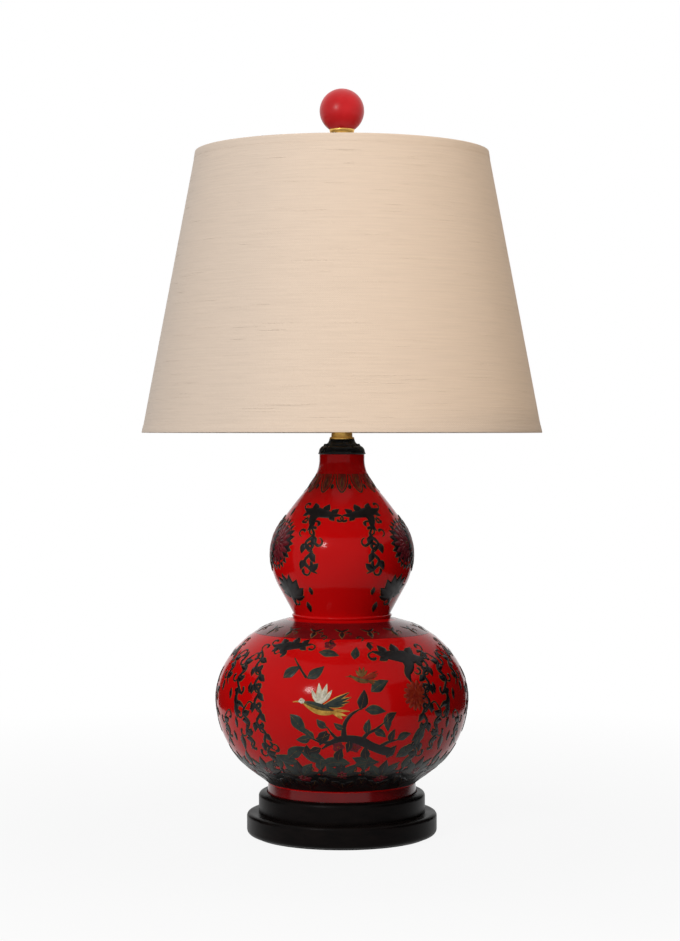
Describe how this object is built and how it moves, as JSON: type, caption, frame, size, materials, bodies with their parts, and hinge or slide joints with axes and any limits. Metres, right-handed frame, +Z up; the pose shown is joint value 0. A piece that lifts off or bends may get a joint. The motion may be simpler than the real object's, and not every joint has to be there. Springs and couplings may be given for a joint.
{
  "type": "table lamp",
  "caption": "Table lamp with a red glazed double gourd vase on a stepped black base, a tapered linen drum shade on a harp, a turn-knob socket and a ball finial.",
  "frame": {"origin": "middle of the felt face that the lamp stands on", "axes": "+Z up along the lamp pipe, -Y towards the switch knob at the front, +Y towards the cord inlet at the back"},
  "size_m": [0.382, 0.382, 0.7132],
  "materials": {
    "felt": "matt pressed felt",
    "black_wood": "satin black lacquer",
    "bushing": "matt",
    "gasket": "matt",
    "glaze": "glossy deep red glaze with raised painted ornament",
    "black_cap": "satin black lacquer",
    "brass": "polished and lacquered",
    "zinc": "plated",
    "card": "matt",
    "phenolic": "moulded, matt",
    "knob": "moulded, glossy",
    "bulb_metal": "bright rolled thread",
    "bulb_white": "satin",
    "diffuser": "frosted",
    "led_board": "satin solder mask",
    "led": "phosphor",
    "linen": "woven linen",
    "liner": "matt styrene",
    "white_wire": "satin",
    "red_lacquer": "high gloss red lacquer"
  },
  "bodies": {
    "root": {"felt_pad": "felt", "wood_base": "black_wood", "cord_bushing": "bushing", "foot_gasket": "gasket", "gourd_body": "glaze", "pipe_washer": "zinc", "lock_washer": "zinc", "bottom_nut": "zinc", "lamp_pipe": "zinc", "vase_cap": "black_cap", "brass_neck": "brass", "harp_saddle": "brass", "saddle_nut": "brass", "socket_cap": "brass", "cap_set_screw": "zinc", "socket_shell": "brass", "insulator": "card", "socket_body": "phenolic", "terminal_screws": "brass", "screw_shell": "brass", "centre_contact": "brass"},
    "knob": {"switch_shaft": "brass", "switch_knob": "knob"},
    "bulb": {"bulb_tip": "bulb_metal", "bulb_insulator": "phenolic", "bulb_thread": "bulb_metal", "bulb_body": "bulb_white", "led_board": "led_board", "leds": "led", "bulb_dome": "diffuser"},
    "harp": {"harp": "brass"},
    "ferrule_left": {"ferrule_left": "brass"},
    "ferrule_right": {"ferrule_right": "brass"},
    "shade": {"shade_cover": "linen", "shade_liner": "liner", "shade_washer": "white_wire", "shade_arms": "white_wire", "shade_top_ring": "white_wire", "shade_bottom_ring": "white_wire", "top_hem": "linen", "bottom_hem": "linen"},
    "finial": {"finial_base": "brass", "finial_ball": "red_lacquer"}
  },
  "joints": [
    {"name": "knob_turn", "type": "hinge", "parent": "root", "child": "knob", "pos_m": [0, -0.02, 0.4318], "axis": [0, -1, 0], "continuous": true},
    {"name": "bulb_turn", "type": "hinge", "parent": "root", "child": "bulb", "pos_m": [0, 0, 0.4468], "axis": [0, 0, 1], "continuous": true},
    {"name": "harp_lift", "type": "slide", "parent": "root", "child": "harp", "axis": [0, 0, 1], "range_m": [0, 0.16]},
    {"name": "ferrule_left_lift", "type": "slide", "parent": "harp", "child": "ferrule_left", "axis": [0, 0, 1], "range_m": [0, 0.012]},
    {"name": "ferrule_right_lift", "type": "slide", "parent": "harp", "child": "ferrule_right", "axis": [0, 0, 1], "range_m": [0, 0.012]},
    {"name": "shade_turn", "type": "hinge", "parent": "harp", "child": "shade", "pos_m": [0, 0, 0.6395], "axis": [0, 0, 1], "continuous": true},
    {"name": "finial_turn", "type": "hinge", "parent": "harp", "child": "finial", "pos_m": [0, 0, 0.65], "axis": [0, 0, 1], "continuous": true}
  ]
}
